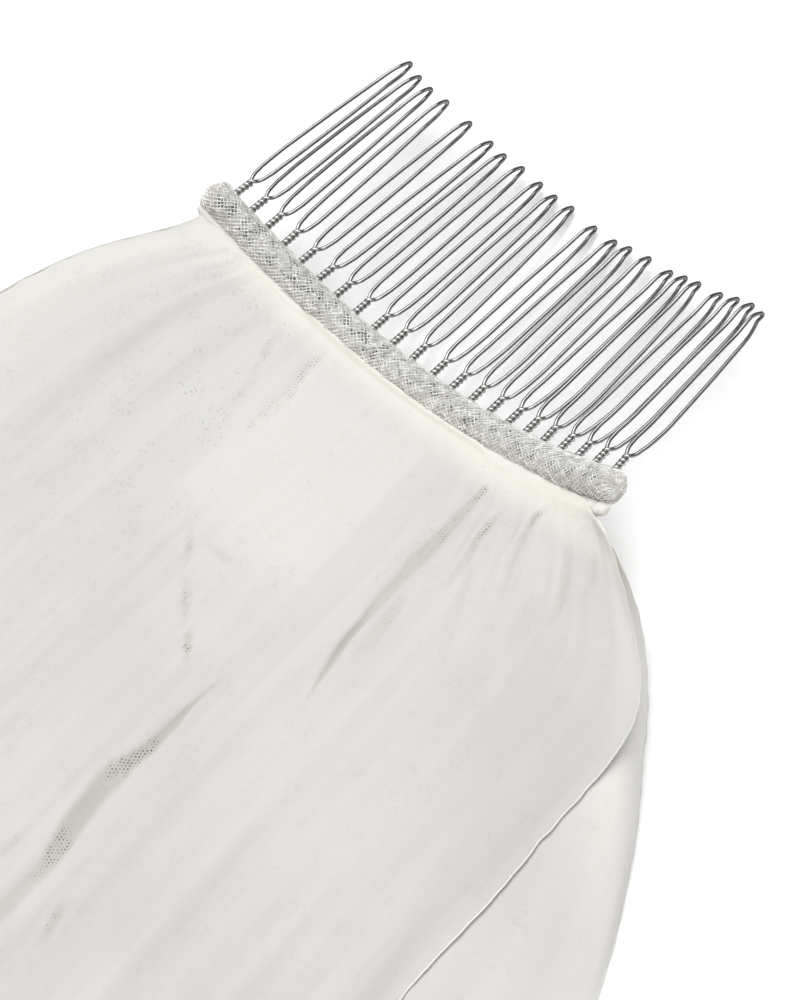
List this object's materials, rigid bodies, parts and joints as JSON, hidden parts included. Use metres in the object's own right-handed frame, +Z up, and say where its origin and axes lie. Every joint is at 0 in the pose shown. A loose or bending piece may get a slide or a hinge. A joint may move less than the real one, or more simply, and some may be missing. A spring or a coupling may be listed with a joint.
{
  "type": "tulle veil on a wire comb",
  "caption": "Bridal veil of gathered tulle in an upper and a lower tier, laid flat, on an arched wire hair comb with a net-wrapped spine and a bare label tab.",
  "frame": {"origin": "under the middle of the veil's footprint, on the surface that it lies on", "axes": "+X along the comb, +Y from the hem towards the comb's teeth, +Z up"},
  "size_m": [0.315, 0.6074, 0.0166],
  "materials": {
    "steel_wire": "bright drawn steel wire",
    "wrap_net": "stiff open net, wound on the bias, with a faint glint",
    "rolled_tulle": "rolled and stitched tulle, warm ivory",
    "nylon_tulle": "soft off-white nylon tulle, sheer, with a fine hexagonal net",
    "label_satin": "plain white woven satin"
  },
  "bodies": {
    "root": {"tooth_01": "steel_wire", "tooth_02": "steel_wire", "tooth_03": "steel_wire", "tooth_04": "steel_wire", "tooth_05": "steel_wire", "tooth_06": "steel_wire", "tooth_07": "steel_wire", "tooth_08": "steel_wire", "tooth_09": "steel_wire", "tooth_10": "steel_wire", "tooth_11": "steel_wire", "tooth_12": "steel_wire", "tooth_13": "steel_wire", "tooth_14": "steel_wire", "tooth_15": "steel_wire", "tooth_16": "steel_wire", "tooth_17": "steel_wire", "tooth_18": "steel_wire", "tooth_19": "steel_wire", "tooth_20": "steel_wire", "tooth_21": "steel_wire", "tooth_22": "steel_wire", "wrap": "wrap_net", "heading": "rolled_tulle", "tier_lower": "nylon_tulle", "tier_upper": "nylon_tulle", "label_tab": "label_satin"}
  },
  "joints": []
}
